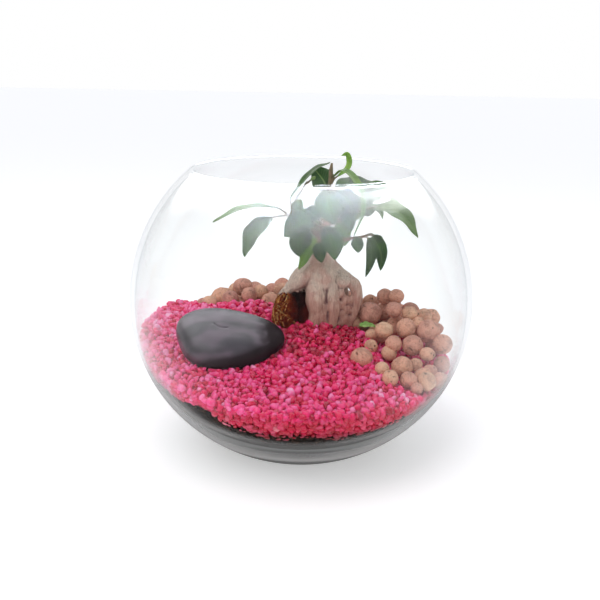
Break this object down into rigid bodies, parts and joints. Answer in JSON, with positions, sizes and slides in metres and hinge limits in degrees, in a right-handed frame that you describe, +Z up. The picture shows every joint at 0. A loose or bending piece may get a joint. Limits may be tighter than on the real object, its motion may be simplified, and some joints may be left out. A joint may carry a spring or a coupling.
{
  "type": "glass plant terrarium",
  "caption": "Round open glass bowl planted with a bare-rooted ficus in soil, pink gravel, baked clay balls and a black pebble; stands on its flat base.",
  "frame": {"origin": "centre of the bowl's flat base, on the surface that it stands on", "axes": "+Z up out of the bowl's mouth, +X to the viewer's right, -Y to the front, where the gravel slopes down to the glass"},
  "size_m": [0.25, 0.25, 0.2177],
  "materials": {
    "glass": "clear blown glass, polished",
    "soil": "dark crumbly potting soil, matt",
    "gravel": "angular pink gravel, dull sheen",
    "pebble": "black pebble, polished",
    "roots": "fibrous reddish-brown root mat, matt",
    "bark": "smooth beige-grey bark with fine creases",
    "leaf": "leathery green leaf with a gloss",
    "clay": "porous baked clay, matt"
  },
  "bodies": {
    "root": {"glass_bowl": "glass", "soil": "soil", "pink_gravel": "gravel", "black_pebble": "pebble", "root_ball": "roots", "ficus_trunk": "bark", "leaves_left": "leaf", "leaves_top": "leaf", "leaves_right": "leaf", "leaves_low_right": "leaf", "leaves_front": "leaf", "leaves_back": "leaf", "fallen_leaf": "leaf", "clay_heap": "clay", "clay_ball_01": "clay", "clay_ball_02": "clay", "clay_ball_03": "clay", "clay_ball_04": "clay", "clay_ball_05": "clay", "clay_ball_06": "clay", "clay_ball_07": "clay", "clay_ball_08": "clay", "clay_ball_09": "clay", "clay_ball_10": "clay"}
  },
  "joints": []
}
